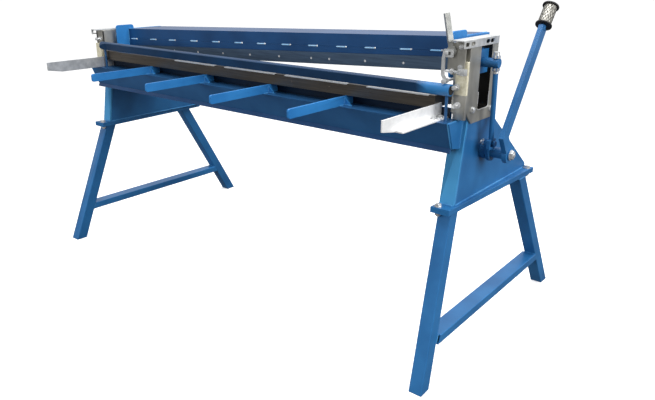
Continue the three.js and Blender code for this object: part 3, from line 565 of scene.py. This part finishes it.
cream = guide_plastic()
plate_steel = guide_steel()
dark_strip_finish = painted_shade_black()
for side, way in SIDES:
    dress(f"guide_plate_{side}", plate_steel, edge=1)
    dress(f"guide_bar_{side}", cream, edge=1.5)
    dress(f"guide_bracket_{side}", zinc, edge=0.6)
    bar_low, bar_high = local(f"guide_bar_{side}")
    plate_low, plate_high = local(f"guide_plate_{side}")
    face = way * 1012.3
    floor_z = plate_low.z + 39
    keeper = bmesh.new()
    slab(keeper, (bar_low.x - 0.6, bar_low.y - 1.6, bar_low.z - 0.6),
         (bar_high.x + 0.6, bar_high.y - 0.5, bar_high.z - 104), 0.5)
    make_piece(f"guide_keeper_{side}", keeper, plate_steel, "frame")
    gibs = bmesh.new()
    heights = (bar_high.z - 79, bar_low.z + 46) if side == "right" else (plate_high.z - 40, plate_low.z + 80)
    seats = (bar_low.y, bar_low.y - 1.6) if side == "right" else (plate_low.y, bar_low.y)
    for z, seat, x in zip(heights, seats, (981, 988)):
        screw(gibs, (way * x, seat, z), (0, -1, 0), washer=10.5, reach=15)
        hexagon_end(gibs, (way * x, seat - 22, z), (way * x, seat - 29, z), 13)
    screw(gibs, (face, -76, plate_low.z + 46), (way, 0, 0), head=7, across=17, washer=10.5, reach=2)
    screw(gibs, (face, 62, plate_low.z + 30), (way, 0, 0), head=7, across=17, washer=10.5, reach=2)
    make_piece(f"gib_screws_{side}", gibs, zinc, "frame")
    # A near-white line round the slot's rim: painted highlight.
    rim_x = way * SLOT_FACE
    turns = [math.radians(15 * i) for i in range(1, 6)]
    rim = [(rim_x, -39, floor_z + 60 - 5 * i) for i in range(10)]
    rim += [(rim_x, -30 - 9.4 * math.cos(a), floor_z + 9.6 - 9.4 * math.sin(a)) for a in turns]
    rim += [(rim_x, -30 + 5 * i, floor_z + 0.2) for i in range(13)]
    rim += [(rim_x, 30 + 9.4 * math.sin(a), floor_z + 9.6 - 9.4 * math.cos(a)) for a in turns]
    rim += [(rim_x, 39.4, floor_z + 10 + 6 * i) for i in range(8)]
    rim_glint = bmesh.new()
    swept(rim_glint, rim, [1.1] * len(rim))
    make_piece(f"guide_slot_glint_{side}", rim_glint, highlight_white, "frame")
# Black strips along both edges of the left guide plate: painted shade.
black_strips = bmesh.new()
low, high = local("guide_plate_left")
for x in (-1013.4, -960):
    slab(black_strips, (x, low.y - 2, low.z + 50), (x + 5, low.y + 3, high.z - 4), 0.6)
make_piece("guide_painted_shade_left", black_strips, dark_strip_finish, "frame")

# Drive: the lever turns a long shaft in two bushes, and a crank at each end pulls its rod.
# All of it is blue, but for zinc plated nuts on the crank pins and the lever's hub.
SHAFT_Y, SHAFT_Z = 45, 752
for node in ("torsion_shaft", "shaft_bush_right", "shaft_bush_left", "crank_right", "crank_left"):
    dress(node, blue)
dress("lever", blue, edge=2.5)
for side, way in SIDES:
    rod_low = local(f"connecting_rod_{side}")[0]
    pin_z = rod_low.z + 17
    crank_low, crank_high = local(f"crank_{side}")
    inner = way * min(abs(crank_low.x), abs(crank_high.x))
    pin_nut = bmesh.new()
    screw(pin_nut, (inner, 10, pin_z), (-way, 0, 0), head=9, across=19, washer=11, reach=7, thread=6)
    make_piece(f"crank_pin_nut_{side}", pin_nut, zinc, "drive")
shaft_low, shaft_high = local("torsion_shaft")
hub_nut = bmesh.new()
screw(hub_nut, (shaft_high.x - 0.3, SHAFT_Y, SHAFT_Z), (1, 0, 0),
      head=9, across=27, washer=18, reach=3, thread=8)
make_piece("lever_hub_nut", hub_nut, zinc, "drive")
far_cap = bmesh.new()
cap_inner, cap_outer = (shaft_low.x + 0.4, SHAFT_Y, SHAFT_Z), (shaft_low.x - 1.6, SHAFT_Y, SHAFT_Z)
round_bar(far_cap, cap_inner, cap_outer, 18.4, sides=32, tip=16.5)
make_piece("shaft_end_cap_left", far_cap, blue, "drive")


# Grip: a knurled aluminium sleeve between two black rubber flanges on the end of the lever.
# Crossed black lines in the sleeve are its knurl, and a rubber plug closes the end.
GRIP_HALF, KNURL_LINES = 34.6, 14


def grip_rubber():
    """Moulded rubber: near black, matt."""
    material, _, shader = new_material("moulded_black_rubber", roughness=0.6)
    shader.inputs["Base Color"].default_value = colour("#1d1c1c")
    return material


def knurled_aluminium():
    """Knurled aluminium sleeve: pale grey between the dark crossed grooves."""
    material, tree, shader = new_material("knurled_aluminium", metallic=0.7, roughness=0.4)
    grooves = noise(tree, 4, 1.0)
    tree.links.new(blend_colours(tree, grooves, "#8d8b83", "#c9c7bf", 0.4, 0.6), shader.inputs["Base Color"])
    return material


rubber = grip_rubber()
dress("lever_grip", rubber, edge=1)
grip_low, grip_high = local("lever_grip")
grip_way = Vector((0, 55, 67)).normalized()
grip_middle = (grip_low + grip_high) / 2
sleeve = bmesh.new()
steps = [-GRIP_HALF + 2 * GRIP_HALF * i / 24 for i in range(25)]
swept(sleeve, [grip_middle + grip_way * s for s in steps], [21.5 + 0.5 * (i % 2) for i in range(25)], sides=40)
make_piece("grip_sleeve", sleeve, knurled_aluminium(), "drive")
mesh_lines = bmesh.new()
side_way = Vector((1, 0, 0))
other_way = grip_way.cross(side_way)
for k in range(KNURL_LINES):
    for turn in (1, -1):
        spiral = []
        for i in range(17):
            angle = 2 * math.pi * k / KNURL_LINES + turn * math.pi * 0.55 * i / 16
            spiral.append(grip_middle + grip_way * (-34 + 68 * i / 16)
                          + (side_way * math.cos(angle) + other_way * math.sin(angle)) * 21.9)
        swept(mesh_lines, spiral, [0.75] * 17, sides=4)
make_piece("grip_knurl", mesh_lines, rubber, "drive")
end_plug = bmesh.new()
tip = grip_middle + grip_way * 40
round_bar(end_plug, tip - grip_way * 2, tip + grip_way * 2.5, 12, sides=28, tip=10)
make_piece("grip_end_plug", end_plug, rubber, "drive")

# Hold-down: a steel tube pressed flat at the front, but for its last part at the clamp.
# It is sprayed blue like the rest; the flat gets deep navy as painted shade, the round part the plain blue,
# and each end is closed by a black rubber plug.
FLAT_END, ROUND_START = 850, 895
dress("hold_down", enamel_with_painted_shade("tube_blue_painted_darker_on_flat", "#173250", "#1c3c5e", "#2a6ea6",
                                   "X", FLAT_END, ROUND_START), edge=1)
hold_low, hold_high = local("hold_down")
HOLD_RADIUS, HOLD_Y = 19, -149
hold_z = hold_high.z - HOLD_RADIUS
plugs = bmesh.new()
for x, way in ((hold_high.x, 1), (hold_low.x, -1)):
    inner_end, outer_end = (x - way * 4, HOLD_Y, hold_z), (x + way * 1.6, HOLD_Y, hold_z)
    round_bar(plugs, inner_end, outer_end, 15.2, sides=32, tip=14.8)
make_piece("hold_down_plugs", plugs, rubber, "hold_down")

# Clamp: a zinc plated angle turns an eccentric pin, whose slotted link pulls the tube down.
# It hangs on a bare steel lug screwed to the front of the right guide.
dress("clamp_bracket", plate_steel, edge=0.8)
dull_zinc = zinc_plate("handled_zinc_plate", "#8f908d", "#a9aaa6")
dress("clamp_handle", dull_zinc, edge=0.5)
dress("clamp_link", zinc, edge=0.6)
pin_cap = bmesh.new()
hexagon_end(pin_cap, (948.9, -150.2, 1091.3), (948.9, -156, 1091.3), 13)
make_piece("eccentric_pin_nut", pin_cap, zinc, "clamp_handle")
lug_low, lug_high = local("clamp_bracket")
lug_screws = bmesh.new()
for x, z in ((990, lug_low.z + 10), (990, lug_high.z - 12)):
    screw(lug_screws, (x, -134.3, z), (0, -1, 0), head=5, across=12, washer=8)
slab(lug_screws, (996, -147, lug_low.z - 14), (1012.5, -127.8, lug_low.z + 6), 1.2)
stud_z = lug_low.z - 4
round_bar(lug_screws, (945, -141, stud_z), (998, -141, stud_z), 4.4, sides=20)
for x0, x1 in ((996, 986), (972, 962)):
    hexagon_end(lug_screws, (x0, -141, stud_z), (x1, -141, stud_z), 16)
make_piece("clamp_lug_screws", lug_screws, zinc, "frame")
FOOT_X = 950
foot_z = local("clamp_link")[0].z + 8
foot_bolt = bmesh.new()
round_bar(foot_bolt, (FOOT_X, -158, foot_z), (FOOT_X, -78, foot_z), 4, sides=20)
hexagon_end(foot_bolt, (FOOT_X, -158, foot_z), (FOOT_X, -164, foot_z), 14)
hexagon_end(foot_bolt, (FOOT_X, -143.6, foot_z), (FOOT_X, -136, foot_z), 14)
make_piece("link_foot_bolt", foot_bolt, zinc, "hold_down")

# Studio: a pale floor, a pale sky and three large soft lamps, overhead, in front and at the right.
# The camera stands where the photograph was taken from, 1.33 m above the floor.
EYE = (1907.3, -1938.1, 1334.6)
HEADING, PITCH, ROLL = 38.54346, 19.98035, 0.254
FOCAL_PIXELS, IMAGE_WIDTH = 636.79, 655
SENSOR = 36
FLOOR_RADIUS = 40


def floor():
    """A round pale floor far wider than the object."""
    sheet = bmesh.new()
    bmesh.ops.create_circle(sheet, cap_ends=True, segments=64, radius=FLOOR_RADIUS)
    mesh = bpy.data.meshes.new("floor")
    sheet.to_mesh(mesh)
    sheet.free()
    piece = bpy.data.objects.new("floor", mesh)
    bpy.context.collection.objects.link(piece)
    material, _, shader = new_material("pale_floor", roughness=0.9)
    shader.inputs["Base Color"].default_value = colour("#f2f2f1")
    shader.inputs["Specular IOR Level"].default_value = 0.0
    shader.inputs["Emission Color"].default_value = (1, 1, 1, 1)
    shader.inputs["Emission Strength"].default_value = 0.5
    mesh.materials.append(material)
    piece.visible_diffuse = False
    piece.visible_glossy = False


def softbox(name, at, aim, size, power, shine=True):
    """A large soft lamp at one point, aimed at another. Without shine no gloss shows it."""
    data = bpy.data.lights.new(name, "AREA")
    data.shape = "RECTANGLE"
    data.size, data.size_y = size
    data.energy = power
    lamp = bpy.data.objects.new(name, data)
    bpy.context.collection.objects.link(lamp)
    lamp.location = at
    lamp.rotation_euler = (Vector(aim) - Vector(at)).to_track_quat("-Z", "Y").to_euler()
    lamp.visible_glossy = shine


def camera():
    """The photograph's camera."""
    data = bpy.data.cameras.new("camera")
    data.sensor_width = SENSOR
    data.lens = FOCAL_PIXELS / IMAGE_WIDTH * SENSOR
    eye = bpy.data.objects.new("camera", data)
    bpy.context.collection.objects.link(eye)
    turn = (Matrix.Rotation(math.radians(HEADING), 4, "Z")
            @ Matrix.Rotation(math.radians(90 - PITCH), 4, "X")
            @ Matrix.Rotation(math.radians(ROLL), 4, "Z"))
    eye.matrix_world = Matrix.Translation(place(*EYE)) @ turn
    bpy.context.scene.camera = eye


def sky():
    """A soft white studio: bright above and behind the object, dim below and towards the camera."""
    world = bpy.data.worlds.new("studio")
    world.use_nodes = True
    tree = world.node_tree
    way = add_node(tree, "ShaderNodeTexCoord").outputs["Generated"]
    split = add_node(tree, "ShaderNodeSeparateXYZ", {"Vector": way})
    up = add_node(tree, "ShaderNodeMapRange", {
        "Value": split.outputs["Z"], "From Min": -0.25, "From Max": 0.15, "To Min": 0.12, "To Max": 0.62},
        interpolation_type="SMOOTHSTEP")
    behind = add_node(tree, "ShaderNodeVectorMath", {0: way, 1: (-0.62, 0.78, 0)}, operation="DOT_PRODUCT")
    back = add_node(tree, "ShaderNodeMapRange", {
        "Value": behind.outputs["Value"], "From Min": -0.2, "From Max": 0.7, "To Min": 0.8, "To Max": 1.5},
        interpolation_type="SMOOTHSTEP")
    total = add_node(tree, "ShaderNodeMath", {0: up.outputs["Result"], 1: back.outputs["Result"]},
                     operation="MULTIPLY")
    tree.links.new(total.outputs["Value"], tree.nodes["Background"].inputs["Strength"])
    tree.nodes["Background"].inputs["Color"].default_value = colour("#fbfcfd")
    bpy.context.scene.world = world


floor()
softbox("overhead", (0.6, 0.2, 4.2), (0.1, 0, 0.6), (4.5, 3.5), 190)
softbox("front_left", (-1.6, -4.2, 1.2), (0.6, 0, 0.7), (2.5, 1.6), 80, shine=False)
softbox("right", (4.6, -0.6, 2.2), (0.8, 0, 0.8), (2.4, 2.0), 120)
sky()
bpy.context.scene.view_settings.view_transform = "Standard"
camera()
